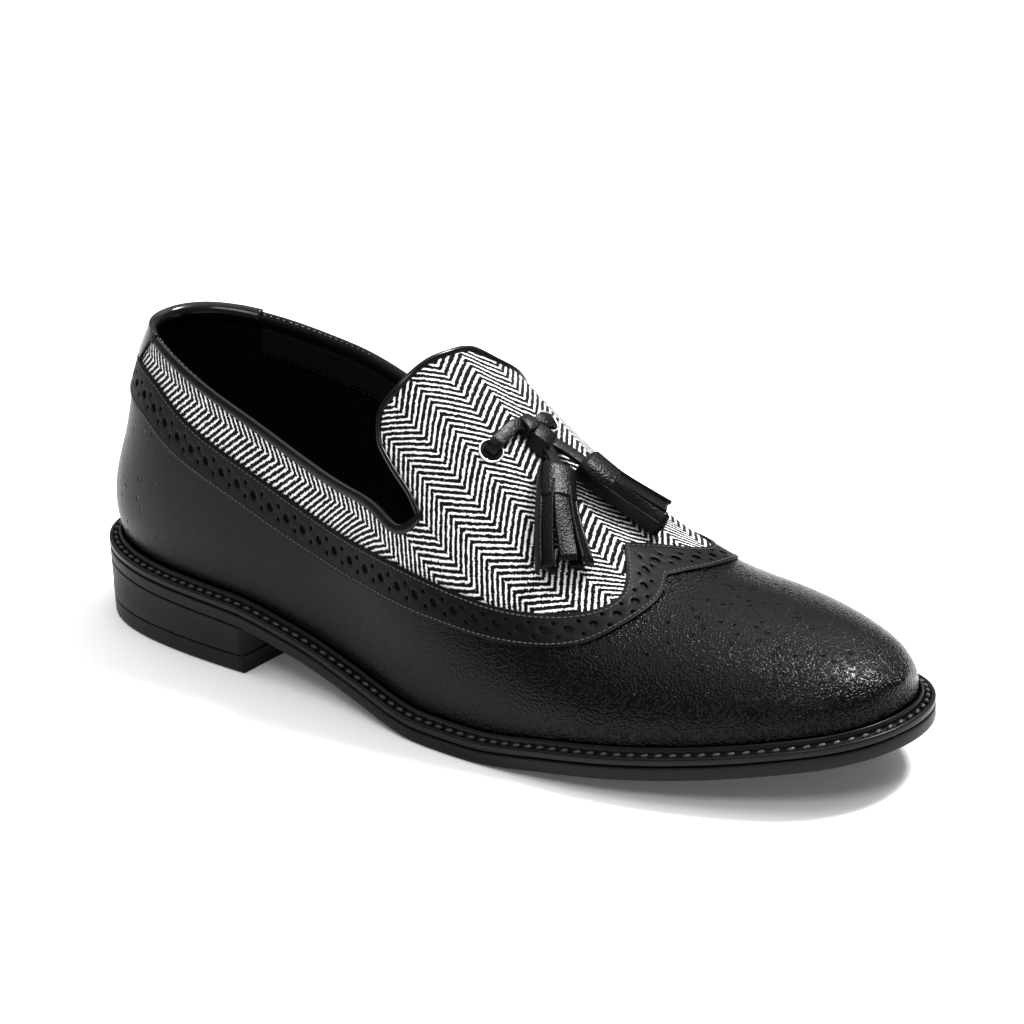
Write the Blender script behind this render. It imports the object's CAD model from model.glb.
# Leather tassel loafer, right shoe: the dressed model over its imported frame.
# Lengths are millimetres in the last's own frame (heel at x = 0, toe along +X, lateral side
# along -Y, floor at z = 0) until to_frame() turns them into metres in the row frame.
import math
from functools import cached_property

import bmesh
import bpy
import numpy as np
from mathutils import Matrix, Vector
from mathutils.geometry import delaunay_2d_cdt


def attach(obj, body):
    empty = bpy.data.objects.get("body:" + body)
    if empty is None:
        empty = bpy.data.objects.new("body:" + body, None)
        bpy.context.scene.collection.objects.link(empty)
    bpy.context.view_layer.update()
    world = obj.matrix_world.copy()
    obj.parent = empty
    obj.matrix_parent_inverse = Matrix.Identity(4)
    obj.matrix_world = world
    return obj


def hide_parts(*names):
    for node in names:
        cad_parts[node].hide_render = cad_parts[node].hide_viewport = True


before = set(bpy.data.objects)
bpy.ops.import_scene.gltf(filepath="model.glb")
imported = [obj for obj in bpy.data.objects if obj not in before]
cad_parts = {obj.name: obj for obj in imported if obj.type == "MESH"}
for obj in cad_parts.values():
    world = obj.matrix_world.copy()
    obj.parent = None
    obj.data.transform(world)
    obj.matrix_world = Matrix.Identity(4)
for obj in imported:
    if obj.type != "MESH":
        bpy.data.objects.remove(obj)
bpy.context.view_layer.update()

# Driving sizes, as in the part's source
SOLE_LENGTH = 300.0
BALL_WIDTH = 105.0
SEAT_HEIGHT = 19.6
TOE_SPRING = 15.8
OUTSOLE_THICK = 4.0
WELT_THICK = 2.8
LIFT_THICK = 5.5
BREAST_AT = 82.5
WELT_EXTENSION = 5.0
RIM_HEIGHT = 1.9
RIM_INSET = 4.3
CHANNEL_WIDTH = 1.6
CHANNEL_DEPTH = 0.7
WELT_SEAT = 4.5
INSTEP_HEIGHT = 106.0
QUARTER_HEIGHT = 72.0
BACK_LEAN = 19.0
WALL = 2.0
FEATHER_TUCK = 1.85
TUCK_HEIGHT = 8.0
TUCK_FADE = 15.0
OVERLAY_THICK = 0.7
TAB_THICK = 1.2
BINDING_INSIDE = 3.0
INSOLE_THICK = 4.0
STRAP_WIDTH = 4.1
LACE_THICK = 1.4
EYELET_RADIUS = 3.9
EYELET_WIRE = 0.6
KNOT_WIDTH = 6.4
CAP_WIDTH = 11.7
CAP_THICK = 8.0
FRINGE_WIDTH = 15.5
FRINGE_THICK = 5.6
GAP = 0.3
SIDE_POWER = 2.3
TOP_POWER = 2.25
TOE_STEEPEST = 1.6
HIGHEST_LEAN = 75.0
BACK_REACH = 0.4

# Sole outline: along, lateral and medial half width as shares
OUTLINE = np.array([
    (0.0, 0.0, 0.0),
    (0.06, 0.254, 0.235),
    (0.15, 0.335, 0.333),
    (0.27, 0.369, 0.331),
    (0.4, 0.4, 0.324),
    (0.52, 0.477, 0.371),
    (0.63, 0.503, 0.464),
    (0.73, 0.493, 0.507),
    (0.83, 0.434, 0.454),
    (0.91, 0.347, 0.342),
    (0.965, 0.246, 0.231),
    (1.0, 0.0, 0.0),
])
# Underside: along, arch as a share of SEAT_HEIGHT, spring as a share of TOE_SPRING
UNDERSIDE = np.array([
    (0.0, 1.0, 0.0),
    (0.12, 0.87, 0.0),
    (0.26, 0.784, 0.0),
    (0.34, 0.565, 0.0),
    (0.44, 0.237, 0.0),
    (0.54, 0.0, 0.0),
    (0.6, 0.0, 0.0),
    (0.7, 0.0, 0.207),
    (0.78, 0.0, 0.375),
    (0.86, 0.0, 0.583),
    (0.93, 0.0, 0.798),
    (1.0, 0.0, 1.0),
])
# Ridge: along, height as a share of INSTEP_HEIGHT
RIDGE = np.array([
    (0.0, 1.154),
    (0.15, 1.196),
    (0.3, 1.202),
    (0.4, 1.141),
    (0.48, 1.019),
    (0.56, 0.811),
    (0.64, 0.613),
    (0.72, 0.471),
    (0.8, 0.427),
    (0.88, 0.406),
    (0.94, 0.374),
    (0.98, 0.331),
    (1.0, 0.296),
])
# Heel's back: rise as a share of QUARTER_HEIGHT, lean as a share of BACK_LEAN
BACK = np.array([
    (0.0, 0.057),
    (0.117, -0.029),
    (0.292, 0.041),
    (0.535, 0.396),
    (0.778, 0.653),
    (0.972, 0.993),
])
# Topline: along, lateral and medial girth
TOPLINE = np.array([
    (0.0, 0.526, 0.526),
    (0.065, 0.493, 0.496),
    (0.12, 0.458, 0.464),
    (0.22, 0.388, 0.416),
    (0.32, 0.338, 0.383),
    (0.42, 0.328, 0.352),
    (0.47, 0.344, 0.355),
    (0.502, 0.366, 0.371),
    (0.516, 0.415, 0.415),
])
# Back edge of the tongue: girth, lateral along, medial along
TONGUE = np.array([
    (0.415, 0.516, 0.516),
    (0.436, 0.503, 0.509),
    (0.45, 0.478, 0.5),
    (0.478, 0.456, 0.492),
    (0.543, 0.45, 0.495),
    (0.62, 0.458, 0.503),
    (0.724, 0.469, 0.51),
    (0.84, 0.479, 0.511),
    (0.92, 0.4855, 0.505),
    (1.0, 0.4915, 0.4915),
])
# Wing band from the heel to its peak: top along, top girth, low along, low girth
WING = np.array([
    (0.0, 0.43, 0.0, 0.345),
    (0.073, 0.397, 0.068, 0.298),
    (0.152, 0.332, 0.147, 0.236),
    (0.232, 0.271, 0.232, 0.187),
    (0.32, 0.234, 0.32, 0.153),
    (0.42, 0.226, 0.422, 0.151),
    (0.51, 0.276, 0.52, 0.196),
    (0.592, 0.35, 0.61, 0.266),
    (0.65, 0.437, 0.67, 0.345),
    (0.69, 0.545, 0.713, 0.457),
    (0.713, 0.655, 0.738, 0.61),
    (0.718, 0.76, 0.749, 0.76),
    (0.705, 0.865, 0.746, 0.87),
    (0.683, 0.96, 0.733, 0.96),
])
PEAK_SHIFT = 0.04
TAB = {"lateral": 0.067, "medial": 0.105, "taper": 0.82, "foot": 0.004}
EYELETS = {"lateral": (0.56, -0.2155), "medial": (0.565, 0.076)}


# Curves through the tables
def natural(xs, ys):
    count = len(xs)
    step = np.diff(xs)
    system = np.zeros((count, count))
    right = np.zeros(count)
    system[0, 0] = system[-1, -1] = 1
    for i in range(1, count - 1):
        system[i, i - 1:i + 2] = step[i - 1], 2 * (step[i - 1] + step[i]), step[i]
        right[i] = 6 * ((ys[i + 1] - ys[i]) / step[i] - (ys[i] - ys[i - 1]) / step[i - 1])
    bend = np.linalg.solve(system, right)

    def curve(at):
        at = np.asarray(at, float)
        i = np.clip(np.searchsorted(xs, at) - 1, 0, count - 2)
        h = step[i]
        a = xs[i + 1] - at
        b = at - xs[i]
        bent = (bend[i] * a ** 3 + bend[i + 1] * b ** 3) / (6 * h)
        return bent + (ys[i] / h - bend[i] * h / 6) * a + (ys[i + 1] / h - bend[i + 1] * h / 6) * b
    return curve


def steady(xs, ys):
    step = np.diff(xs)
    rise = np.diff(ys) / step
    slope = np.concatenate([[rise[0]], np.zeros(len(xs) - 2), [rise[-1]]])
    for i in range(1, len(xs) - 1):
        if rise[i - 1] * rise[i] > 0:
            near = 2 * step[i] + step[i - 1]
            far = step[i] + 2 * step[i - 1]
            slope[i] = (near + far) / (near / rise[i - 1] + far / rise[i])

    def curve(at):
        at = np.clip(np.asarray(at, float), xs[0], xs[-1])
        i = np.clip(np.searchsorted(xs, at) - 1, 0, len(xs) - 2)
        h = step[i]
        s = (at - xs[i]) / h
        t = 1 - s
        low = ys[i] * (1 + 2 * s) * t * t + slope[i] * h * s * t * t
        return low + ys[i + 1] * s * s * (3 - 2 * s) - slope[i + 1] * h * s * s * t
    return curve


def turn_at(along):
    return np.arccos(1 - 2 * np.clip(along, 0, 1))


def mix(a, b, share):
    return a + (b - a) * share


lateral_half = natural(turn_at(OUTLINE[:, 0]), OUTLINE[:, 1] * BALL_WIDTH)
medial_half = natural(turn_at(OUTLINE[:, 0]), OUTLINE[:, 2] * BALL_WIDTH)
ridge_height = natural(turn_at(RIDGE[:, 0]), RIDGE[:, 1] * INSTEP_HEIGHT)
back_lean = natural(BACK[:, 0] * QUARTER_HEIGHT, BACK[:, 1] * BACK_LEAN)
underside_at = steady(
    UNDERSIDE[:, 0] * SOLE_LENGTH, UNDERSIDE[:, 1] * SEAT_HEIGHT + UNDERSIDE[:, 2] * TOE_SPRING)
topline_lateral = natural(turn_at(TOPLINE[:, 0]), TOPLINE[:, 1])
topline_medial = natural(turn_at(TOPLINE[:, 0]), TOPLINE[:, 2])
tongue_sides = {side: steady(TONGUE[:, 0], turn_at(TONGUE[:, k])) for side, k in ((1, 1), (-1, 2))}
tongue_over = natural(np.concatenate([TONGUE[:, 0] - 1, 1 - TONGUE[-2::-1, 0]]),
                      turn_at(np.concatenate([TONGUE[:, 1], TONGUE[-2::-1, 2]])))
NOTCH_GIRTH, NOTCH_TURN = TONGUE[0, 0], float(turn_at(TONGUE[0, 1]))


# Girths over which the tongue's two sides blend into one round edge
ROUND_FROM = 0.5
ROUND_OVER = 0.15


def smooth_step(value):
    share = np.clip(value, 0, 1)
    return share * share * (3 - 2 * share)


def tongue_edge(side, girth):
    """Turn of the tongue's edge: side is 1 on the lateral half; the halves meet without a corner."""
    share = smooth_step((girth - ROUND_FROM) / ROUND_OVER)
    return mix(tongue_sides[side](girth), tongue_over(side * (girth - 1)), share)


def topline_girth(turn):
    return np.where(turn > 0, topline_lateral(np.abs(turn)), topline_medial(np.abs(turn)))


def outline(turn, grow):
    """Sole outline at a turn (0 heel, pi toe, positive lateral), moved out along its normal."""
    turn = np.asarray(turn, float)
    step = 1e-3

    def raw(t):
        past = np.abs(t) > math.pi
        angle = np.where(past, 2 * math.pi - np.abs(t), np.abs(t))
        lateral = (t > 0) != past
        y = np.where(lateral, -lateral_half(angle), medial_half(angle))
        return np.stack([SOLE_LENGTH * (1 - np.cos(angle)) / 2, y], -1)
    ahead = raw(turn + step) - raw(turn - step)
    normal = np.stack([ahead[..., 1], -ahead[..., 0]], -1)
    normal /= np.linalg.norm(normal, axis=-1, keepdims=True)
    return raw(turn) + normal * np.asarray(grow, float)[..., None]


def outsole_top(x):
    return underside_at(x) + OUTSOLE_THICK


def last(turn, girth, grow=0.0):
    """A point over the last: girth is 0 at the feather edge and 1 on the ridge."""
    turn, girth, grow = np.broadcast_arrays(
        np.asarray(turn, float), np.asarray(girth, float), np.asarray(grow, float))
    angle = np.abs(turn)
    flat = outline(turn, grow - WELT_EXTENSION)
    other = outline(-turn, grow - WELT_EXTENSION)[..., 0]
    x = flat[..., 0]
    side = np.where(turn > 0, -1, 1)
    half = side * flat[..., 1]
    base = outsole_top(x) + WELT_THICK + GAP
    step = 0.01
    run = SOLE_LENGTH * (np.cos(angle - step) - np.cos(angle + step)) / 2
    high = ridge_height(np.minimum(angle + step, math.pi)) - ridge_height(np.maximum(angle - step, 0))
    steep = np.minimum(np.hypot(1, high / np.maximum(run, GAP)), TOE_STEEPEST)
    top = ridge_height(angle) + grow * steep
    quarter = np.clip(girth, 0, 1) * math.pi / 2
    width = np.maximum(np.cos(quarter), 0) ** (2 / SIDE_POWER)
    rise = np.sin(quarter) ** (2 / TOP_POWER) * (top - base)
    tuck = FEATHER_TUCK * (1 - np.exp(-rise / TUCK_HEIGHT)) * np.minimum(half / TUCK_FADE, 1)
    reach = np.maximum(1 - (1 - np.cos(angle)) / 2 / BACK_REACH, 0) ** 1.5
    lean = back_lean(np.clip(rise, 0, HIGHEST_LEAN)) * reach
    station = mix((x + other) / 2, x, width)
    return np.stack([station + lean, side * (half + tuck) * width, base + rise], -1)


def normal_at(turn, girth, grow=0.0):
    step = 1e-3
    low = np.clip(girth, step, 1 - step)
    by_turn = last(turn + step, low, grow) - last(turn - step, low, grow)
    by_girth = last(turn, low + step, grow) - last(turn, low - step, grow)
    return unit(np.cross(by_turn, by_girth))


def unit(v):
    return v / np.maximum(np.linalg.norm(v, axis=-1, keepdims=True), 1e-12)


def across_to_place(along, across):
    """Turn and girth of a place over the vamp: across is negative on the lateral side."""
    along, across = np.broadcast_arrays(np.asarray(along, float), np.asarray(across, float))
    turn = turn_at(along)
    return np.where(across < 0, turn, -turn), 1 - np.abs(across)


# From the last's frame to the row frame
edge_turns = np.linspace(-math.pi, math.pi, 2001)
edge_y = outline(edge_turns, 0.0)[:, 1]
MIDDLE = np.array([SOLE_LENGTH / 2, (edge_y.max() + edge_y.min()) / 2, 0.0])
MM = 0.001


def to_frame(points):
    return (np.asarray(points, float) - MIDDLE) * MM


# Camera, fitted to the photograph
CAMERA = {
    "at": (653.74, -633.16, 352.1),
    "azimuth": 37.892,
    "elevation": 20.267,
    "roll": -2.662,
    "focal_px": 2862.9,
}
PHOTO_SIZE = 1024
SENSOR = 36.0


def add_camera():
    a, e, r = (math.radians(CAMERA[key]) for key in ("azimuth", "elevation", "roll"))
    forward = Vector((-math.sin(a) * math.cos(e), math.cos(a) * math.cos(e), -math.sin(e)))
    level = Vector((math.cos(a), math.sin(a), 0))
    above = level.cross(forward)
    right = level * math.cos(r) + above * math.sin(r)
    up = above * math.cos(r) - level * math.sin(r)
    data = bpy.data.cameras.new("camera")
    data.sensor_width = SENSOR
    data.lens = CAMERA["focal_px"] * SENSOR / PHOTO_SIZE
    data.clip_start = 0.01
    data.clip_end = 20
    camera = bpy.data.objects.new("camera", data)
    turn = Matrix((right, up, -forward)).transposed()
    camera.matrix_world = Matrix.Translation(to_frame(CAMERA["at"])) @ turn.to_4x4()
    bpy.context.scene.collection.objects.link(camera)
    bpy.context.scene.camera = camera


add_camera()


# Materials
class Look:
    """A material in the making. Every input takes a number, a colour or another node's socket."""

    def __init__(self, name, roughness, **inputs):
        self.material = bpy.data.materials.new(name)
        self.material.use_nodes = True
        self.tree = self.material.node_tree
        self.core = self.tree.nodes["Principled BSDF"]
        self.fill(self.core, Roughness=roughness, **inputs)

    @cached_property
    def place(self):
        """The object's own coordinates in millimetres."""
        source = self.add("TexCoord").outputs["Object"]
        return self.add("Mapping", Vector=source, Scale=(1 / MM,) * 3).outputs[0]

    def plug(self, slot, value):
        if isinstance(value, bpy.types.NodeSocket):
            self.tree.links.new(value, slot)
        else:
            slot.default_value = value

    def fill(self, made, **inputs):
        for key, value in inputs.items():
            self.plug(made.inputs[key.replace("_", " ")], value)
        return made

    def add(self, kind, **inputs):
        return self.fill(self.tree.nodes.new("ShaderNode" + kind), **inputs)

    def math(self, operation, *values):
        made = self.add("Math")
        made.operation = operation
        for slot, value in zip(made.inputs, values):
            self.plug(slot, value)
        return made.outputs[0]

    def plus(self, first, second):
        return self.math("ADD", first, second)

    def minus(self, first, second):
        return self.math("SUBTRACT", first, second)

    def times(self, first, second):
        return self.math("MULTIPLY", first, second)

    def ramp(self, value, span, low=0.0, high=1.0):
        """Smooth step of a value over a span, from low to high."""
        made = self.add("MapRange", Value=value, From_Min=span[0], From_Max=span[1], To_Min=low, To_Max=high)
        made.interpolation_type = "SMOOTHSTEP"
        return made.outputs[0]

    def noise(self, per_mm, detail=3.0, rough=0.55, place=None):
        place = self.place if place is None else place
        made = self.add("TexNoise", Vector=place, Scale=per_mm, Detail=detail, Roughness=rough)
        return made.outputs["Fac"]

    def pebbles(self, every_mm):
        return self.add("TexVoronoi", Vector=self.place, Scale=1 / every_mm).outputs["Distance"]

    def bump(self, height, strength, depth_mm):
        made = self.add("Bump", Height=height, Strength=strength, Distance=depth_mm * MM)
        self.fill(self.core, Normal=made.outputs[0])

    def blend(self, share, first, second, kind="MIX"):
        made = self.add("MixRGB", Color1=first, Color2=second)
        made.blend_type = kind
        self.plug(made.inputs[0], share)
        return made.outputs[0]

    def tint(self, share, tone, dark, light):
        """Base colour between two shades of a tone, each as its grey and its blue share."""
        shades = [(grey * tone, grey * tone, blue * tone, 1) for grey, blue in (dark, light)]
        self.fill(self.core, Base_Color=self.blend(share, *shades))


# Grain of leather: spans are shares of a pebble, sizes per millimetre, the rest shares
GRAIN = {"dome": (0.12, 0.7), "fine_per_mm": 2.2, "fine": 0.5, "slow_per_mm": 0.045, "uneven": 0.16,
         "polish": 0.06, "valley": 0.25}
# Wear of the toe and heel: spans along and up the shoe in millimetres from the frame's origin
WEAR = {"grain": (-40, 105), "faintest": 0.12, "dull": 0.1, "pit_every": 3.8, "pit_rim": (0.12, 0.22),
        "pit_depth": 7.0, "front": (62, 84), "above": (24, 36), "heel": (-104, -118),
        "patch_per_mm": 0.09, "patch": (0.44, 0.54)}


def leather(name, tone, rough, grain_mm, depth_mm, coat=0.0, worn=False):
    """Black leather with a pebbled grain; worn leather is smoother at the heel and pitted in places."""
    look = Look(name, rough, Specular_IOR_Level=0.28, Coat_Weight=coat, Coat_Roughness=0.25)
    domes = look.ramp(look.pebbles(grain_mm), GRAIN["dome"], 1, 0)
    height = look.plus(domes, look.times(look.noise(GRAIN["fine_per_mm"], 2, 0.6), GRAIN["fine"]))
    slow = look.noise(GRAIN["slow_per_mm"])
    shine = look.plus(look.times(slow, GRAIN["uneven"]), rough - GRAIN["uneven"] / 2)
    polish = look.minus(shine, look.times(domes, GRAIN["polish"]))
    dark = look.times(slow, look.plus(domes, GRAIN["valley"]))
    if worn:
        along, _, above = look.add("SeparateXYZ", Vector=look.place).outputs
        toe = look.ramp(along, WEAR["grain"], WEAR["faintest"], 1.0)
        front = look.times(look.ramp(along, WEAR["front"]), look.ramp(above, WEAR["above"]))
        patch = look.ramp(look.noise(WEAR["patch_per_mm"], 2), WEAR["patch"])
        where = look.math("MAXIMUM", front, look.times(look.ramp(along, WEAR["heel"]), patch))
        pit = look.times(look.ramp(look.pebbles(WEAR["pit_every"]), WEAR["pit_rim"], 1, 0), where)
        height = look.minus(look.times(height, toe), look.times(pit, WEAR["pit_depth"]))
        dark = look.times(dark, look.minus(1.0, pit))
        polish = look.plus(polish, look.ramp(toe, (0.1, 1.0), WEAR["dull"], 0.0))
    look.bump(height, 1.0, depth_mm)
    look.fill(look.core, Roughness=polish)
    look.tint(dark, tone, (0.7, 0.72), (1.4, 1.43))
    return look.material


# Herringbone: column width, first column's shift, stroke period and slope, and the yarn's unevenness
TWEED = {"column": 9.6, "shift": 4.5, "period": 2.35, "slope": 0.85, "wander": 0.2, "lump": 0.8,
         "lump_depth": 0.1, "knobs_per_mm": 1.5, "knobs": 1.1, "white_from": (0.57, 0.63)}
BLACK_YARN = (0.006, 0.006, 0.0065, 1)
WHITE_YARN = (0.88, 0.88, 0.87, 1)


def tweed_material():
    """Black and white herringbone: columns run along the shoe, read from a UV map in millimetres."""
    look = Look("tweed", 0.92, Specular_IOR_Level=0.15, Sheen_Weight=0.12, Sheen_Roughness=0.6)
    source = look.add("UVMap")
    source.uv_map = "weave"
    across, along, _ = look.add("SeparateXYZ", Vector=source.outputs[0]).outputs

    def wander(seed):
        moved = look.add("VectorMath")
        look.plug(moved.inputs[0], look.place)
        look.plug(moved.inputs[1], (seed, seed * 2, 0))
        soft = look.noise(0.75, 2.5, 0.6, moved.outputs[0])
        return look.times(look.minus(soft, 0.5), 4 * TWEED["wander"])
    u = look.plus(look.plus(across, TWEED["shift"]), wander(11.0))
    v = look.plus(along, wander(37.0))
    fold = look.times(look.math("PINGPONG", u, TWEED["column"]), TWEED["slope"])
    saw = look.math("FRACT", look.math("DIVIDE", look.plus(v, fold), TWEED["period"]))
    ridge = look.times(look.math("ABSOLUTE", look.minus(saw, 0.5)), 2)
    twist = look.times(look.minus(v, fold), math.pi * math.sqrt(2) / TWEED["lump"])
    lump = look.times(look.math("SINE", twist), TWEED["lump_depth"])
    knobs = look.times(look.minus(look.noise(TWEED["knobs_per_mm"], 2, 0.5), 0.5), TWEED["knobs"])
    yarn = look.plus(look.plus(ridge, lump), knobs)
    cloth = look.blend(look.ramp(yarn, TWEED["white_from"]), BLACK_YARN, WHITE_YARN)
    fuzz = look.noise(2.6, 4, 0.7)
    lifted = look.ramp(fuzz, (0.3, 0.6), 0.7, 1.0)
    hairs = look.add("CombineXYZ", X=lifted, Y=lifted, Z=lifted).outputs[0]
    look.fill(look.core, Base_Color=look.blend(0.35, cloth, hairs, "MULTIPLY"))
    look.bump(look.plus(yarn, look.times(fuzz, 0.6)), 0.9, 0.22)
    return look.material


def smooth_black(name, tone, rough, coat=0.0, fine=0.05):
    """Smooth black leather with faint streaks; fine is the depth of its surface."""
    look = Look(name, rough, Specular_IOR_Level=0.35, Coat_Weight=coat, Coat_Roughness=0.2)
    streak = look.noise(0.35, 5, 0.65)
    look.bump(look.plus(streak, look.times(look.noise(1.6, 3, 0.6), 0.6)), 0.6, fine)
    look.fill(look.core, Roughness=look.plus(look.times(streak, 0.2), rough - 0.1))
    look.tint(streak, tone, (0.8, 0.82), (1.3, 1.32))
    return look.material


def metal_material():
    look = Look("nickel", 0.3, Base_Color=(0.78, 0.78, 0.76, 1), Metallic=1.0)
    scratch = look.noise(1.4, 4, 0.7)
    look.fill(look.core, Roughness=look.ramp(scratch, (0.3, 0.7), 0.22, 0.4))
    look.bump(scratch, 0.2, 0.02)
    return look.material


def thread_material(name, tone, rough):
    look = Look(name, rough, Specular_IOR_Level=0.4)
    twist = look.noise(4.0, 2, 0.5)
    look.bump(twist, 0.7, 0.08)
    look.tint(twist, tone, (0.6, 0.6), (1.3, 1.3))
    return look.material


GRAINED = leather("grained_leather", 0.0045, 0.23, 0.85, 0.15, worn=True)
BAND = leather("band_leather", 0.007, 0.48, 0.7, 0.03)
TRIM = smooth_black("trim_leather", 0.005, 0.22, coat=0.4)
TASSEL = leather("tassel_leather", 0.0045, 0.38, 0.75, 0.06, coat=0.05)
FACING = smooth_black("facing_leather", 0.02, 0.5)
SOLE = smooth_black("sole_edge", 0.009, 0.42, fine=0.03)
WELT = smooth_black("welt_leather", 0.006, 0.36, coat=0.1, fine=0.04)
LINING = smooth_black("lining_leather", 0.004, 0.6, fine=0.06)
CLOTH = tweed_material()
NICKEL = metal_material()
THREAD = thread_material("black_thread", 0.12, 0.35)
BEAD = thread_material("waxed_thread", 0.09, 0.2)


# Mesh helpers
def piece(name, points, faces, material, slot, uv=None, replaces=(), second=None, on=None):
    """A named mesh in the row frame from points in the last's frame, riding on the shoe."""
    mesh = bpy.data.meshes.new(name)
    mesh.from_pydata(to_frame(points).tolist(), [], [list(map(int, face)) for face in faces])
    if uv is not None:
        layer = mesh.uv_layers.new(name="weave")
        corner = np.empty(len(mesh.loops), np.int32)
        mesh.loops.foreach_get("vertex_index", corner)
        layer.data.foreach_set("uv", np.asarray(uv, np.float32)[corner].ravel())
    mesh.materials.append(material)
    if second is not None:
        mesh.materials.append(second)
        mesh.polygons.foreach_set("material_index", np.asarray(on, np.int32))
    mesh.polygons.foreach_set("use_smooth", [True] * len(mesh.polygons))
    mesh.update()
    made = bpy.data.objects.new(name, mesh)
    bpy.context.scene.collection.objects.link(made)
    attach(made, "root")
    if replaces:
        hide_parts(*replaces)
    return made


def weld(obj, distance=1e-7):
    edit = bmesh.new()
    edit.from_mesh(obj.data)
    bmesh.ops.remove_doubles(edit, verts=edit.verts, dist=distance)
    bmesh.ops.dissolve_degenerate(edit, edges=edit.edges, dist=distance)
    bmesh.ops.recalc_face_normals(edit, faces=edit.faces)
    edit.to_mesh(obj.data)
    edit.free()
    obj.data.polygons.foreach_set("use_smooth", [True] * len(obj.data.polygons))


def thicken(obj, depth_mm):
    shell = obj.modifiers.new("thickness", "SOLIDIFY")
    shell.thickness = depth_mm * MM
    shell.offset = -1.0
    shell.use_even_offset = True
    shell.use_quality_normals = True


def soften(obj, width_mm, segments=2, angle=35):
    edge = obj.modifiers.new("soft_edge", "BEVEL")
    edge.width = width_mm * MM
    edge.segments = segments
    edge.limit_method = "ANGLE"
    edge.angle_limit = math.radians(angle)
    edge.harden_normals = False


def grid_faces(rows, columns, wrap_rows=False, wrap_columns=False):
    index = np.arange(rows * columns).reshape(rows, columns)
    if wrap_rows:
        index = np.vstack([index, index[:1]])
    if wrap_columns:
        index = np.hstack([index, index[:, :1]])
    a, b, c, d = index[:-1, :-1], index[:-1, 1:], index[1:, 1:], index[1:, :-1]
    return np.stack([a, b, c, d], -1).reshape(-1, 4)


def tube_faces(rings, sides):
    """Faces of stacked closed rings with a cap at both ends."""
    last_ring = (rings - 1) * sides
    caps = [list(range(sides))[::-1], [last_ring + i for i in range(sides)]]
    return grid_faces(rings, sides, wrap_columns=True).tolist() + caps


class Batch:
    """Many small forms joined into one mesh."""

    def __init__(self):
        self.points = []
        self.faces = []
        self.count = 0

    def add(self, points, faces):
        points = np.asarray(points, float).reshape(-1, 3)
        self.points.append(points)
        self.faces.extend([[int(i) + self.count for i in face] for face in faces])
        self.count += len(points)

    def build(self, name, material, slot, **more):
        return piece(name, np.vstack(self.points), self.faces, material, slot, **more)


def arc_lengths(points):
    return np.concatenate([[0], np.cumsum(np.linalg.norm(np.diff(points, axis=0), axis=1))])


def sample(at, length, rows):
    """Rows read at places along a path, whose own lengths are given."""
    return np.stack([np.interp(at, length, column) for column in rows.T], -1)


def circle(count):
    return np.linspace(0, 2 * math.pi, count, endpoint=False)


def capsule(sides=6):
    """Unit stitch: along x from -0.5 to 0.5, radius 0.5 in y and z."""
    rings = [(-0.5, 0.35), (-0.36, 0.85), (-0.12, 1.0), (0.12, 1.0), (0.36, 0.85), (0.5, 0.35)]
    points = [(x, 0.5 * r * math.cos(t), 0.5 * r * math.sin(t)) for x, r in rings for t in circle(sides)]
    return np.array(points), tube_faces(len(rings), sides)


STITCH_POINTS, STITCH_FACES = capsule()
STITCHES = {
    "welt": {"pitch": 4.15, "length": 2.3, "width": 1.5, "height": 1.5, "sink": 0.2, "slant": 0.3},
    "band": {"pitch": 1.7, "length": 1.25, "width": 0.45, "height": 0.4, "sink": 0.12, "slant": 0.0},
    "facing": {"pitch": 2.2, "length": 1.6, "width": 0.45, "height": 0.4, "sink": 0.1, "slant": 0.0},
}


def stitch_row(batch, path, normals, size):
    """Stitches along a path: each lies on the surface, a little sunk at its ends."""
    at = arc_lengths(path)
    count = max(int(at[-1] / size["pitch"]), 1)
    for i in range(count):
        middle = (i + 0.5) * at[-1] / count
        back, place, ahead = sample(middle + np.array([-0.3, 0.0, 0.3]), at, path)
        out = unit(sample(middle, at, normals))
        forward = unit(ahead - back)
        forward = unit(forward + unit(np.cross(out, forward)) * size["slant"])
        side = unit(np.cross(out, forward))
        basis = np.stack([forward * size["length"], side * size["width"], out * size["height"]])
        batch.add(place + out * (size["height"] / 2 - size["sink"]) + STITCH_POINTS @ basis, STITCH_FACES)


def sweep(at, across, out, sections):
    """Capped tube: one closed section of (side, up) pairs at each station, or one for all of them."""
    sections = np.asarray(sections, float)
    if sections.ndim == 2:
        sections = np.tile(sections, (len(at), 1, 1))
    points = at[:, None] + across[:, None] * sections[:, :, :1] + out[:, None] * sections[:, :, 1:]
    return points.reshape(-1, 3), tube_faces(*sections.shape[:2])


def path_frames(points, normals):
    ahead = unit(np.gradient(points, axis=0))
    across = unit(np.cross(ahead, normals))
    return points, across, unit(np.cross(across, ahead))


def rounded_strap(width, thick, corner, steps=4):
    """Closed section of a flat strap with rounded edges."""
    r = min(thick / 2, corner)
    x, y = width / 2 - r, thick / 2 - r
    section = []
    for sign_x, sign_y, start in ((1, 1, 0), (-1, 1, 90), (-1, -1, 180), (1, -1, 270)):
        for k in range(steps):
            angle = math.radians(start + 90 * k / (steps - 1))
            section.append((sign_x * x + r * math.cos(angle), sign_y * y + r * math.sin(angle)))
    return section


# Upper: grained leather under the wing band, tweed above it
QUARTER_COLUMNS = 230
FOREPART_COLUMNS = 92
TONGUE_COLUMNS = 22
LOW_ROWS = 36
HIGH_ROWS = 52
QUARTER_EASE = 1.25
HIGH_EASE = 1.6
SHELL_THICK = 1.0
LINING_AT = 1.05
LINING_THICK = 0.9


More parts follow.
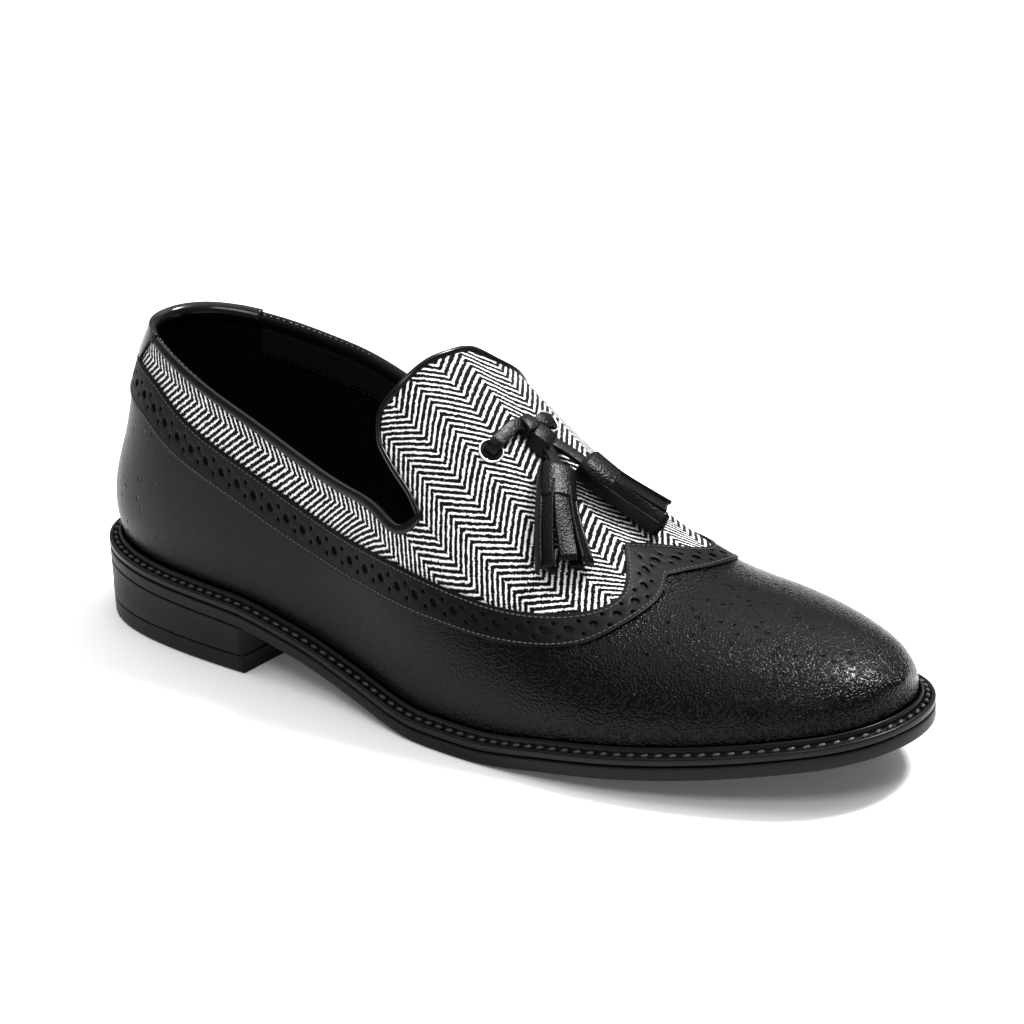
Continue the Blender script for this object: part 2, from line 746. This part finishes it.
def wing_place(row, up, medial):
    """Turn and girth on the wing band: row runs from the heel to the peak, up from low to top."""
    top_turn, top_girth = wing_curves["top"]
    low_turn, low_girth = wing_curves["low"]
    turn = mix(low_turn(row), top_turn(row), up)
    girth = mix(low_girth(row), top_girth(row), up)
    shift = 2 * PEAK_SHIFT * (girth / (1 - PEAK_SHIFT)) ** 4
    across = np.where(medial, 1 - girth - shift, girth - 1)
    return np.where(across < 0, turn, -turn), 1 - np.abs(across)


wing_rows = np.arange(len(WING), dtype=float)
wing_curves = {line: (natural(wing_rows, turn_at(WING[:, k])), natural(wing_rows, WING[:, k + 1]))
               for line, k in (("top", 0), ("low", 2))}
LAST_ROW = len(WING) - 1.0


def wing_line(up, count=400):
    """The whole band at one height, from the lateral heel over the peak to the medial heel."""
    row = LAST_ROW * np.linspace(0, 1, count // 2)
    halves = wing_place(row, up, False), wing_place(row[::-1], up, True)
    return [np.concatenate(pair) for pair in zip(*halves)]


def flattened(turn, girth):
    """Share of the length, and the signed share of the girth from the ridge."""
    return (1 - np.cos(turn)) / 2, np.where(turn > 0, girth - 1, 1 - girth)


def inside_wing(turn, girth, up):
    """True where a place lies above the wing band's line at the given height."""
    poly_u, poly_v = flattened(*wing_line(up))
    u, v = flattened(turn, girth)
    poly_u = np.concatenate([poly_u, [-0.1, -0.1]])
    poly_v = np.concatenate([poly_v, [poly_v[-1], poly_v[0]]])
    inside = np.zeros(u.shape, bool)
    for i in range(len(poly_u)):
        j = (i + 1) % len(poly_u)
        cuts = (poly_v[i] > v) != (poly_v[j] > v)
        slope = (poly_u[j] - poly_u[i]) / (poly_v[j] - poly_v[i] + 1e-15)
        inside ^= cuts & (u < poly_u[i] + slope * (v - poly_v[i]))
    return inside


def upper_patches():
    """(turn, girth) grids that share their edges; the first index runs up the girth."""
    ease = np.linspace(-1, 1, QUARTER_COLUMNS + 1)
    turns = np.sign(ease) * (1 - (1 - np.abs(ease)) ** QUARTER_EASE) * NOTCH_TURN
    share = np.linspace(0, 1, LOW_ROWS + 1)
    patches = [(turns, share[:, None] * topline_girth(turns))]
    high = mix(NOTCH_GIRTH, 1.0, np.linspace(0, 1, HIGH_ROWS + 1) ** HIGH_EASE)
    girths = np.concatenate([share * NOTCH_GIRTH, high[1:]])
    stations = np.linspace(NOTCH_TURN, math.pi, FOREPART_COLUMNS + 1)
    reach = np.linspace(0, 1, TONGUE_COLUMNS + 1)
    for side in (1, -1):
        edge = tongue_edge(side, high)
        patches.append((side * stations, girths[:, None]))
        patches.append((side * mix(edge[:, None], NOTCH_TURN, reach), high[:, None]))
    return [np.broadcast_arrays(*patch) for patch in patches]


def arc_over(turns, girths, steps=24):
    """Length over the last between two places, given as a pair of turns and a pair of girths."""
    arc = 0.0
    before = last(turns[0], girths[0])
    for k in range(1, steps + 1):
        here = last(mix(*turns, k / steps), mix(*girths, k / steps))
        arc = arc + np.linalg.norm(here - before, axis=-1)
        before = here
    return arc


# Weave: arc from the ridge that the strip starts at, length of its blend, skew of the strokes, origin
STRIP_ARC = 65.6
STRIP_BLEND = 55.0
WEAVE_SKEW = 0.4
WEAVE_ORIGIN = float(turn_at(0.6))


def weave_place(turn, girth, quarter):
    """Weave coordinates in millimetres: across from the ridge, lateral side positive, and along."""
    side = np.where(turn > 0, 1.0, -1.0)
    across = arc_over((turn, turn), (1.0, girth))
    skew = np.full(turn.shape, WEAVE_SKEW)
    if quarter:
        strip = STRIP_ARC + arc_over((turn, turn), (topline_girth(turn), girth))
        back = (np.cos(turn) - math.cos(NOTCH_TURN)) * SOLE_LENGTH / 2
        share = smooth_step(back / STRIP_BLEND)
        across = mix(across, strip, share)
        skew = np.where(side > 0, skew * (1 - share), skew)
    along = arc_over((side * WEAVE_ORIGIN, turn), (girth, girth)) * np.sign(np.abs(turn) - WEAVE_ORIGIN)
    return np.stack([side * across, along + skew * (np.maximum(side * across, 0.0) - STRIP_ARC)], -1)


# Heights of the band where the cloth meets the leather, and between which both are covered
BAND_COVER = {"seam": 0.82, "low": 0.12, "high": 0.92}


def build_upper():
    cloth = Batch()
    hide = Batch()
    cloth_uv = []
    under = {cloth: [], hide: []}
    for number, (turn, girth) in enumerate(upper_patches()):
        points = last(turn, girth).reshape(-1, 3)
        faces = grid_faces(*turn.shape)
        turn, girth = turn.ravel(), girth.ravel()
        middle = turn[faces].mean(1), girth[faces].mean(1)
        above = inside_wing(*middle, BAND_COVER["seam"])
        covered = inside_wing(*middle, BAND_COVER["low"]) & ~inside_wing(*middle, BAND_COVER["high"])
        for batch, chosen in ((cloth, above), (hide, ~above)):
            if not chosen.any():
                continue
            used, local = np.unique(faces[chosen], return_inverse=True)
            batch.add(points[used], local.reshape(-1, 4).tolist())
            under[batch].extend(covered[chosen])
            if batch is cloth:
                cloth_uv.append(weave_place(turn[used], girth[used], number == 0))
    panels = (
        cloth.build("tweed_panels", CLOTH, "tweed", uv=np.vstack(cloth_uv), replaces=("upper",),
                    second=LINING, on=under[cloth]),
        hide.build("grained_panels", GRAINED, "black_leather", second=LINING, on=under[hide]),
    )
    for made in panels:
        weld(made, 2e-6)
        face_out(made)
        thicken(made, SHELL_THICK)


def face_out(obj):
    """Turns the faces so that most look away from the shoe's inside."""
    mesh = obj.data
    centre = np.array([0.0, 0.0, 0.04])
    total = 0.0
    for polygon in mesh.polygons:
        outward = (np.array(polygon.center) - centre) * (0.2, 1, 1)
        total += float(np.dot(outward, polygon.normal)) * polygon.area
    if total < 0:
        mesh.flip_normals()


def every_other(count):
    return np.unique(np.append(np.arange(0, count, 2), count - 1))


def build_lining():
    batch = Batch()
    for turn, girth in upper_patches():
        chosen = np.ix_(*map(every_other, turn.shape))
        batch.add(last(turn[chosen], girth[chosen], -LINING_AT), grid_faces(*turn[chosen].shape).tolist())
    lining = batch.build("lining", LINING, "lining")
    weld(lining, 2e-6)
    face_out(lining)
    thicken(lining, LINING_THICK)


build_upper()
build_lining()


# Sole pieces
def slab(name, to_turn, rows, material, slot, replaces, count=180):
    """Closed slab with the sole's outline from the heel: rows of (grow, height over x) from below."""
    closed = to_turn >= math.pi - 1e-6
    near = np.linspace(0, to_turn, count)
    loop = np.concatenate([near[1:], -near[:0:-1]])
    if closed:
        loop = np.linspace(-math.pi, math.pi, 2 * count, endpoint=False)
    rings = []
    for grow, height in rows:
        flat = outline(loop, grow)
        rings.append(np.column_stack([flat, height(flat[:, 0])]))
    size = len(loop)
    half = size // 2
    faces = grid_faces(len(rows), size, wrap_columns=True).tolist()
    for start, flip in ((0, False), ((len(rows) - 1) * size, True)):
        if closed:
            pairs = [(start + i, start + (size - i) % size) for i in range(half + 1)]
        else:
            pairs = [(start + i, start + size - 1 - i) for i in range(half)]
        for (a, b), (c, d) in zip(pairs[:-1], pairs[1:]):
            quad = [a, c, d, b] if flip else [a, b, d, c]
            faces.append(list(dict.fromkeys(quad)))
    faces = [face for face in faces if len(set(face)) > 2]
    made = piece(name, np.vstack(rings), faces, material, slot, replaces=replaces)
    weld(made, 1e-6)


def raised(surface, up):
    return lambda x: surface(x) + up


def edge_rows(low, high, r):
    """Profile of a sole's edge between two surfaces, with corners rounded by r."""
    rows = []
    for surface, sign in ((low, 1), (high, -1)):
        corner = [(-3 * r, surface), (-r, surface)]
        for k in (0.3, 0.7, 1.0):
            angle = k * math.pi / 2
            corner.append((-r * (1 - math.sin(angle)), raised(surface, sign * r * (1 - math.cos(angle)))))
        rows += corner[::sign]
    return rows


def floor_level(x):
    return 0 * x


LAYER_GAP = 0.15
EDGE_ROUND = {"outsole": 0.55, "heel": 0.4, "lift": 0.45}
BREAST_TURN = float(turn_at(BREAST_AT / SOLE_LENGTH))
slab("outsole_edge", math.pi, edge_rows(underside_at, outsole_top, EDGE_ROUND["outsole"]),
     SOLE, "sole_leather", ("outsole",))
slab("heel_stack", BREAST_TURN,
     edge_rows(raised(floor_level, LIFT_THICK + LAYER_GAP), raised(underside_at, -LAYER_GAP),
               EDGE_ROUND["heel"]),
     SOLE, "sole_leather", ("heel_block",), count=70)
slab("top_lift", BREAST_TURN, edge_rows(floor_level, raised(floor_level, LIFT_THICK), EDGE_ROUND["lift"]),
     SOLE, "lift_rubber", ("heel_lift",), count=70)


def build_welt():
    inner = -RIM_INSET
    seat = -WELT_EXTENSION - WELT_SEAT
    channel = inner + 1.25
    crest = WELT_THICK + RIM_HEIGHT
    margin = WELT_THICK
    floor = margin - CHANNEL_DEPTH
    outer_edge = [(-0.6, GAP), (-0.15, GAP + 0.2), (0, GAP + 0.7), (0, margin - 0.6), (-0.2, margin - 0.15),
                  (-0.7, margin), (inner + 3.3, margin), (inner + 3.0, margin - 0.15)]
    trough = [(channel + CHANNEL_WIDTH, floor), (channel, floor)]
    rim = [(inner + 1.0, margin + 0.3), (inner + 0.95, crest - 0.45), (inner + 0.75, crest - 0.1),
           (inner + 0.45, crest), (inner + 0.15, crest - 0.1), (inner, crest - 0.45)]
    profile = outer_edge + trough + rim + [(inner, margin), (seat, margin), (seat, GAP)]
    turns = np.linspace(-math.pi, math.pi, 420, endpoint=False)
    rings = []
    for grow, up in profile:
        flat = outline(turns, grow)
        rings.append(np.column_stack([flat, outsole_top(flat[:, 0]) + up]))
    faces = grid_faces(len(turns), len(profile), wrap_rows=True, wrap_columns=True).tolist()
    shaded = [k % len(profile) in (8, 9, 15, 16) for k in range(len(faces))]
    made = piece("storm_welt", np.stack(rings, 1).reshape(-1, 3), faces, WELT, "sole_leather",
                 replaces=("welt",), second=LINING, on=shaded)
    weld(made)
    beads = Batch()
    path = outline(np.linspace(-math.pi, math.pi, 1200), channel + CHANNEL_WIDTH / 2)
    path = np.column_stack([path, outsole_top(path[:, 0]) + floor])
    stitch_row(beads, path, np.tile([0.0, 0.0, 1.0], (len(path), 1)), STITCHES["welt"])
    beads.build("welt_stitches", BEAD, "sole_leather")


def build_insole():
    ring = -(WELT_EXTENSION + WELT_SEAT + GAP)
    wall = -(WELT_EXTENSION + WALL + LINING_THICK)
    low, top = WELT_THICK + GAP, INSOLE_THICK + GAP
    rows = [(ring - 1, GAP), (ring, GAP), (ring, low), (wall - 0.6, low), (wall, low + 0.5),
            (wall - 0.1, INSOLE_THICK - 0.2), (wall - 0.8, top), (wall - 4, top)]
    slab("sock", math.pi, [(grow, raised(outsole_top, up)) for grow, up in rows],
         LINING, "lining", ("insole",), count=110)


build_welt()
build_insole()


# Wing band: width that the flat pattern has everywhere, its punched holes, mesh and stitch lines
BAND_WIDTH = 13.0
BROGUE = {"pitch": 7.2, "big": 1.25, "small": 0.62, "spread": 2.15}
BAND_MESH = {"stations": 520, "ease": 1.35, "edge_step": 1.5, "edge_rows": 9, "step": 2.2, "rows": 8,
             "clear": 0.7, "soft": 0.16}
# Stitch lines of the band: height they start from, distance from it
BAND_STITCHES = ((1.0, -1.25), (0.0, 1.1))
BAND_GAP = 0.06


def flat_band_mesh(total, stretch_at):
    """Points and faces of the band laid flat, with its holes left open."""
    half = BAND_WIDTH / 2
    steps = np.arange(0, total, BAND_MESH["edge_step"])
    ends = np.linspace(-half, half, BAND_MESH["edge_rows"])[1:-1]
    points = [(x, -half) for x in steps] + [(total, -half)] + [(total, y) for y in ends]
    points += [(x, half) for x in np.append(steps, total)[::-1]] + [(0, y) for y in ends[::-1]]
    edges = [(i, (i + 1) % len(points)) for i in range(len(points))]
    holes = []
    count = int(total / BROGUE["pitch"])
    for i in range(count):
        holes.append(((i + 0.5) * total / count, 0.0, BROGUE["big"]))
        if i:
            between = i * total / count
            off = BROGUE["spread"] * stretch_at(between)
            holes += [(between, off, BROGUE["small"]), (between, -off, BROGUE["small"])]
    for x, y, r in holes:
        sides = 16 if r > 1 else 10
        start = len(points)
        points += [(x + r * math.cos(t), y + r * math.sin(t) * stretch_at(x)) for t in circle(sides)]
        edges += [(start + k, start + (k + 1) % sides) for k in range(sides)]
    holes = np.array(holes)
    for x in np.arange(BAND_MESH["edge_step"], total - 1, BAND_MESH["step"]):
        for y in np.linspace(-half, half, BAND_MESH["rows"])[1:-1]:
            gap = np.hypot(holes[:, 0] - x, holes[:, 1] - y) - holes[:, 2]
            if gap.min() > BAND_MESH["clear"]:
                points.append((x, y))
    result = delaunay_2d_cdt([Vector(p) for p in points], edges, [], 0, 1e-5)
    flat = np.array([tuple(v) for v in result[0]])
    faces = np.array([list(f) for f in result[2]])
    middle = flat[faces].mean(1)
    punched = np.zeros(len(faces), bool)
    for x, y, r in holes:
        punched |= np.hypot(middle[:, 0] - x, (middle[:, 1] - y) / stretch_at(x)) < r * 0.97
    return flat, faces[~punched].tolist()


def build_band():
    ends = 2 * LAST_ROW
    share = np.linspace(0, ends, BAND_MESH["stations"]) / LAST_ROW
    rows = np.where(share <= 1, LAST_ROW * share ** BAND_MESH["ease"],
                    ends - LAST_ROW * np.maximum(2 - share, 0) ** BAND_MESH["ease"])

    def place(at, up):
        medial = at > LAST_ROW
        return wing_place(np.where(medial, ends - at, at), up, medial)
    length = arc_lengths(last(*place(rows, 0.5)))
    true_width = np.linalg.norm(last(*place(rows, 1.0)) - last(*place(rows, 0.0)), axis=1)

    def stretch_at(x):
        return BAND_WIDTH / np.interp(x, length, true_width)

    def spread(x, y):
        return place(np.interp(x, length, rows), y / BAND_WIDTH + 0.5)
    flat, faces = flat_band_mesh(length[-1], stretch_at)
    made = piece("wing_band_leather", last(*spread(*flat.T), OVERLAY_THICK), faces, BAND,
                 "black_leather", replaces=("wing_band",))
    weld(made, 1e-6)
    face_out(made)
    thicken(made, OVERLAY_THICK - BAND_GAP)
    soften(made, BAND_MESH["soft"])
    stitches = Batch()
    x = np.linspace(2, length[-1] - 2, 1400)
    for up, inset in BAND_STITCHES:
        stations = spread(x, (up - 0.5) * BAND_WIDTH + inset * stretch_at(x))
        stitch_row(stitches, last(*stations, OVERLAY_THICK), normal_at(*stations), STITCHES["band"])
    stitches.build("band_stitches", THREAD, "black_leather")


build_band()

# Collar binding, tongue piping and heel tab
BINDING_EASE = 12.0
QUARTER_LIP = {"outside": 2.9, "thick": 0.5, "rim": 0.45}
TONGUE_LIP = {"outside": 1.6, "thick": 0.75, "rim": 0.6}
LIP_GAP = 0.12
TAB_GAP = 0.05
LIP_TOP = 6
LIP_FOLD = 15
TAB_STARTS = ((1, float(turn_at(TAB["lateral"]))), (-1, float(turn_at(TAB["medial"]))))


def edge_path(turn, girth):
    at = last(turn, girth)
    across = unit(np.cross(unit(np.gradient(at, axis=0)), normal_at(turn, girth)))
    return at, across, (at - last(turn, girth, -WALL)) / WALL


def even_path(turn, girth, step):
    """Stations along an edge, evenly spaced over it."""
    length = arc_lengths(last(turn, girth))
    at = np.linspace(0, length[-1], int(length[-1] / step) + 1)
    return np.interp(at, length, turn), np.interp(at, length, girth), at


def collar_stations():
    """Turn, girth and how far each station belongs to the tongue, round the whole opening."""
    girth = mix(NOTCH_GIRTH, 1.0, np.linspace(0, 1, 600) ** 2)
    halves = []
    for sign, start in TAB_STARTS:
        quarter = np.linspace(start, NOTCH_TURN, 400) * sign
        turn = np.concatenate([quarter, sign * tongue_edge(sign, girth)[1:]])
        height = np.concatenate([topline_girth(quarter), girth[1:]])
        turn, height, at = even_path(turn, height, 1.0)
        corner = arc_lengths(last(quarter, topline_girth(quarter)))[-1]
        halves.append((turn, height, np.clip((at - corner) / BINDING_EASE + 0.5, 0, 1)))
    return [np.concatenate([a, b[-2::-1]]) for a, b in zip(*halves)]


def lip_section(outside, inside, thick, rim):
    """Leather folded over the wall's edge: a leaf outside, a rounded fold and a leaf inside."""
    half = WALL / 2 + LIP_GAP + thick
    back = -WALL - LIP_GAP
    fold = [(half * 0.8 * (1 - math.sin(a)) - rim, half * math.cos(a) - WALL / 2)
            for a in np.linspace(math.pi, 0.0, LIP_FOLD)]
    inner = [(outside, LIP_GAP), (0.1, LIP_GAP), (0.1, back), (inside, back),
             (inside + 0.1, back - thick * 0.6), (inside - 0.3, back - thick)]
    outer = [(outside * 0.6, thick), (outside - thick * 0.7, thick), (outside - thick * 0.2, thick * 0.8),
             (outside, thick * 0.4)]
    return inner + fold + [(side, LIP_GAP + up) for side, up in outer]


def build_binding():
    turn, girth, share = collar_stations()
    at, across, out = edge_path(turn, girth)
    window = np.ones(9) / 9
    for k in range(3):
        across[:, k] = np.convolve(np.pad(across[:, k], 4, mode="edge"), window, mode="valid")
    sections = []
    for s in smooth_step(share):
        size = {key: mix(QUARTER_LIP[key], TONGUE_LIP[key], s) for key in QUARTER_LIP}
        sections.append(lip_section(inside=BINDING_INSIDE, **size))
    points, faces = sweep(at, unit(across), out, sections)
    inner = [k % len(sections[0]) < LIP_TOP + LIP_FOLD * 0.55 for k in range(len(faces))]
    made = piece("collar_trim", points, faces, TRIM, "black_leather", replaces=("collar_binding",),
                 second=LINING, on=inner)
    weld(made)


FACING_DEPTH = 13.5
FACING_AT = WALL + 0.35
FACING_THICK = 0.35
FACING_TUCK = 0.8
FACING_FALL = 0.2
FACING_LINES = (BINDING_INSIDE + 0.9, FACING_DEPTH - 0.6)


def build_facing():
    """Strip of lining leather inside the topline, with a row of stitches along each edge."""
    stitches = Batch()
    strips = Batch()
    for sign, start in TAB_STARTS:
        turn = np.linspace(start * 1.02, NOTCH_TURN * 0.985, 120) * sign
        top = topline_girth(turn)
        slope = FACING_FALL / arc_over((turn, turn), (top, top * (1 - FACING_FALL)))
        girth = top * (1 - (np.linspace(0.0, FACING_DEPTH, 9)[:, None] + FACING_TUCK) * slope)
        loop = np.concatenate([last(turn, girth, -FACING_AT),
                               last(turn, girth, FACING_THICK - FACING_AT)[::-1]])
        strips.add(loop, grid_faces(*loop.shape[:2], wrap_rows=True).tolist())
        for depth in FACING_LINES:
            line = top * (1 - (depth + FACING_TUCK) * slope)
            stitch_row(stitches, last(turn, line, -FACING_AT), -normal_at(turn, line), STITCHES["facing"])
    weld(strips.build("collar_facing", FACING, "lining"))
    stitches.build("facing_stitches", FACING, "lining")


def build_tab():
    (_, lateral), (_, medial) = TAB_STARTS
    turns = np.linspace(-medial, lateral, 70)
    top_turn, top_girth = wing_curves["top"]
    rise = np.linspace(0, 1, 22)[:, None]
    foot = top_girth(np.abs(turns * TAB["taper"]) / top_turn(1.0)) + TAB["foot"]
    turn = turns * mix(TAB["taper"], 1.0, rise)
    girth = mix(foot, topline_girth(turns), rise)
    leaf = piece("heel_tab_leaf", last(turn, girth, TAB_THICK).reshape(-1, 3),
                 grid_faces(*turn.shape).tolist(), TRIM, "black_leather", replaces=("heel_tab",))
    weld(leaf)
    face_out(leaf)
    thicken(leaf, TAB_THICK - TAB_GAP)
    soften(leaf, 0.3)
    section = lip_section(QUARTER_LIP["outside"], BINDING_INSIDE, TAB_THICK - 0.3, TAB_THICK - 0.4)
    points, faces = sweep(*edge_path(turns, topline_girth(turns)), section)
    weld(piece("heel_tab_fold", points, faces, TRIM, "black_leather"))


build_binding()
build_facing()
build_tab()


# Eyelets, lace, knot and tassels
def over(rows, unit_height=1.0):
    """Points and normals over the vamp from rows of (along, across, height in a named size)."""
    rows = np.asarray(rows, float)
    turn, girth = across_to_place(rows[:, 0], rows[:, 1])
    out = normal_at(turn, girth)
    return last(turn, girth) + out * rows[:, 2:3] * unit_height, out


def spline(points, count):
    """Smooth curve through points."""
    length = arc_lengths(points)
    at = np.linspace(0, length[-1], count)
    return np.stack([natural(length, points[:, k])(at) for k in range(points.shape[1])], -1)


# Thongs from the eyelets under the knot to the caps: along, across, height in LACE_THICK
THONGS = {
    "near": [(0.5595, -0.2265, -1.0), (0.5595, -0.2205, 0.57), (0.5595, -0.2075, 1.71),
             (0.5595, -0.1925, 2.14), (0.5595, -0.16, 2.0), (0.5595, -0.12, 1.86), (0.56, -0.0765, 1.79),
             (0.5645, -0.05, 1.6), (0.574, -0.037, 1.5), (0.5825, -0.033, 1.6), (0.5885, -0.039, 1.8),
             (0.5965, -0.058, 2.6), (0.606, -0.087, 3.4)],
    "far": [(0.5685, 0.093, -1.7), (0.5685, 0.084, 0.57), (0.568, 0.071, 1.5), (0.567, 0.044, 1.8),
            (0.5655, 0.019, 1.8), (0.566, 0.0035, 1.6), (0.571, -0.01, 1.5), (0.579, -0.008, 1.5),
            (0.588, 0.003, 1.8), (0.598, 0.009, 2.6), (0.6125, 0.0145, 3.45)],
}
# Wraps of the knot: along, across, half width on top and at the foot, top height, in KNOT_WIDTH / 2
WRAPS = {
    "back": [(0.5565, -0.036, 0.62, 1.0, 1.0), (0.562, -0.036, 0.72, 1.1, 1.3),
             (0.5702, -0.035, 0.85, 1.15, 1.32)],
    "front": [(0.5702, -0.036, 0.82, 1.25, 1.34), (0.577, -0.0265, 0.93, 1.5, 1.42),
              (0.5855, -0.0155, 1.0, 1.65, 1.34)],
}
# Middle lines of the tassels: along, across, height in CAP_THICK
TASSEL_LINES = {
    "near": [(0.6045, -0.084, 0.6), (0.6245, -0.177, 0.61), (0.643, -0.249, 0.54), (0.665, -0.33, 0.49)],
    "far": [(0.61, 0.0135, 0.6), (0.637, 0.039, 0.61), (0.658, 0.083, 0.54), (0.68, 0.13, 0.49)],
}
# Strips of a tassel: degrees round its middle, width, reach past the end
STRIPS = [(-96, 4.2, 0.0), (-52, 4.6, 0.6), (-6, 5.4, -0.4), (44, 4.4, 0.8), (92, 4.2, 0.2), (150, 4.0, 0.5),
          (210, 4.0, -0.3)]
STRIP_THICK = 1.15
STRIP_CURL = 0.05
CAP_POWER = 2 / 2.6
EYELET_RISE = 0.35
EYELET_DEPTH = 2.2


def build_eyelets():
    wire = EYELET_RADIUS - EYELET_WIRE * 0.6
    ring = [(wire + EYELET_WIRE * 0.6 * math.cos(a), EYELET_RISE + EYELET_WIRE * 0.8 * math.sin(a))
            for a in np.linspace(-0.3, math.pi, 10)]
    ring += [(wire - EYELET_WIRE * share, -EYELET_DEPTH) for share in (0.9, 0.4)] + [(wire, -0.2)]
    angles = circle(64)
    count = len(angles)
    for name, (along, across) in EYELETS.items():
        (centre,), (up,) = over([(along, across, 0.0)])
        side = unit(np.cross(up, [1.0, 0.0, 0.0]))
        front = np.cross(side, up)
        spokes = [front * math.cos(t) + side * math.sin(t) for t in angles]
        weld(piece(f"eyelet_ring_{name}", [centre + spoke * r + up * h for spoke in spokes for r, h in ring],
                   grid_faces(count, len(ring), True, True), NICKEL, "silver_metal",
                   replaces=(f"eyelet_{name}",)))
        disc = [centre + spoke * wire * s + up * h
                for s, h in ((1.0, 0.1), (0.98, 0.16), (0.3, 0.16)) for spoke in spokes]
        faces = grid_faces(3, count, wrap_columns=True).tolist() + [list(range(2 * count, 3 * count))]
        thicken(piece(f"eyelet_shade_{name}", disc, faces, LINING, "lining"), 0.08)


def build_tassel(name):
    anchor, anchor_out = over(TASSEL_LINES[name], CAP_THICK)
    line = spline(anchor, 46)
    frames = path_frames(line, unit(spline(anchor_out, 46)))
    length = arc_lengths(line)
    cap_end = np.linalg.norm(anchor[1] - anchor[0])
    body = Batch()

    def frames_between(low, high, count):
        where = np.linspace(low, high, count)
        at, across, up = (sample(where, length, rows) for rows in frames)
        return (where - low) / (high - low), at, unit(across), unit(up)
    share, at, across, up = frames_between(0, cap_end, 18)
    size = np.where(share < 0.12, 0.62 + 0.36 * np.sqrt(share / 0.12), 0.98 + 0.02 * share)
    size = size - 0.03 * np.exp(-((share - 0.9) / 0.03) ** 2)
    section = np.array([(CAP_WIDTH / 2 * np.sign(math.cos(t)) * abs(math.cos(t)) ** CAP_POWER,
                         CAP_THICK / 2 * np.sign(math.sin(t)) * abs(math.sin(t)) ** CAP_POWER)
                        for t in circle(36)])
    body.add(*sweep(at, across, up, size[:, None, None] * section))
    share, at, across, up = frames_between(0.6 * cap_end, length[-1], 16)
    ahead = unit(np.gradient(at, axis=0))
    half_wide = mix(CAP_WIDTH / 2 - 1.0, FRINGE_WIDTH / 2, share ** 1.2)
    half_thick = mix(CAP_THICK / 2 - 0.9, FRINGE_THICK / 2, share)
    for degrees, width, reach in STRIPS:
        angle = math.radians(degrees)
        moves = ((across, half_wide * math.sin(angle)), (up, half_thick * math.cos(angle)),
                 (ahead, share * reach))
        place = at + sum(way * far[:, None] for way, far in moves)
        tilt = angle * (1 - 0.15 * share)[:, None]
        side = across * np.cos(tilt) - up * np.sin(tilt)
        rise = up * np.cos(tilt) + across * np.sin(tilt)
        curl = [(x, y + STRIP_CURL * (1 - (2 * x / width) ** 2))
                for x, y in rounded_strap(width, STRIP_THICK, 0.4)]
        body.add(*sweep(place, side, rise, curl))
    return body.build(f"tassel_{name}_leather", TASSEL, "black_leather", replaces=(f"tassel_{name}",))


def build_lace():
    section = rounded_strap(STRAP_WIDTH, LACE_THICK, 0.35)
    tassels = {name: build_tassel(name) for name in TASSEL_LINES}
    for name, rows in THONGS.items():
        anchor, anchor_out = over(rows, LACE_THICK)
        line = spline(anchor, 60)
        points, faces = sweep(*path_frames(line, unit(spline(anchor_out, 60))), section)
        made = piece(f"thong_{name}", points, faces, TASSEL, "black_leather",
                     replaces=(f"lace_side_{name}", f"lace_end_{name}"))


def build_knot():
    body = Batch()
    for rows in WRAPS.values():
        rows = np.array(rows)
        base, out = over(rows[:, :3] * (1, 1, 0))
        at, across, up = path_frames(base, out)
        sections = []
        for top, foot, high in rows[:, 2:] * KNOT_WIDTH / 2:
            bend = mix(top, foot, 0.3)
            sections.append([(-foot, 0.2), (-bend, high * 0.72), (-top, high), (0.0, high * 1.03),
                             (top, high), (bend, high * 0.72), (foot, 0.2)])
        body.add(*sweep(at, -across, up, sections))
    made = body.build("knot_wraps", TASSEL, "black_leather", replaces=("lace_knot",))
    weld(made)
    soften(made, 0.3, 3, 25)


build_eyelets()
build_knot()
build_lace()

# Lamps: name, place, two sides and radiance
LAMPS = [
    ("key_box", (0.52, 0.57, 1.36), 0.3, 0.3, 98.0),
    ("lateral_box", (0.42, -0.74, 0.92), 0.5, 0.3, 9.0),
    ("ceiling", (-0.3, 0.5, 1.9), 3.6, 3.6, 1.3),
]
FLOOR = {"reach": 4.0, "drop": 0.0002, "tone": 0.93, "glow": 0.12}
WORLD_STRENGTH = 0.36
VIEW_GAMMA = 0.75


def build_stage():
    mesh = bpy.data.meshes.new("floor")
    corners = [(FLOOR["reach"] * x, FLOOR["reach"] * y, 0) for x, y in ((-1, -1), (1, -1), (1, 1), (-1, 1))]
    mesh.from_pydata(corners, [], [(0, 1, 2, 3)])
    floor = bpy.data.objects.new("floor", mesh)
    floor.location.z = -FLOOR["drop"]
    bpy.context.scene.collection.objects.link(floor)
    tone = FLOOR["tone"]
    white = Look("floor_white", 0.8, Base_Color=(tone, tone, tone, 1), Specular_IOR_Level=0.1,
                 Emission_Color=(1, 1, 1, 1), Emission_Strength=FLOOR["glow"])
    mesh.materials.append(white.material)
    world = bpy.data.worlds.new("studio")
    world.use_nodes = True
    sky = world.node_tree.nodes["Background"]
    sky.inputs["Color"].default_value = (1, 1, 1, 1)
    sky.inputs["Strength"].default_value = WORLD_STRENGTH
    bpy.context.scene.world = world
    bpy.context.scene.view_settings.view_transform = "Standard"
    bpy.context.scene.view_settings.gamma = VIEW_GAMMA
    for name, place, wide, deep, radiance in LAMPS:
        data = bpy.data.lights.new(name, "AREA")
        data.shape = "RECTANGLE"
        data.size = wide
        data.size_y = deep
        data.energy = radiance * math.pi * wide * deep
        lamp = bpy.data.objects.new(name, data)
        lamp.location = place
        lamp.rotation_euler = (-Vector(place)).to_track_quat("-Z", "Y").to_euler()
        bpy.context.scene.collection.objects.link(lamp)


build_stage()
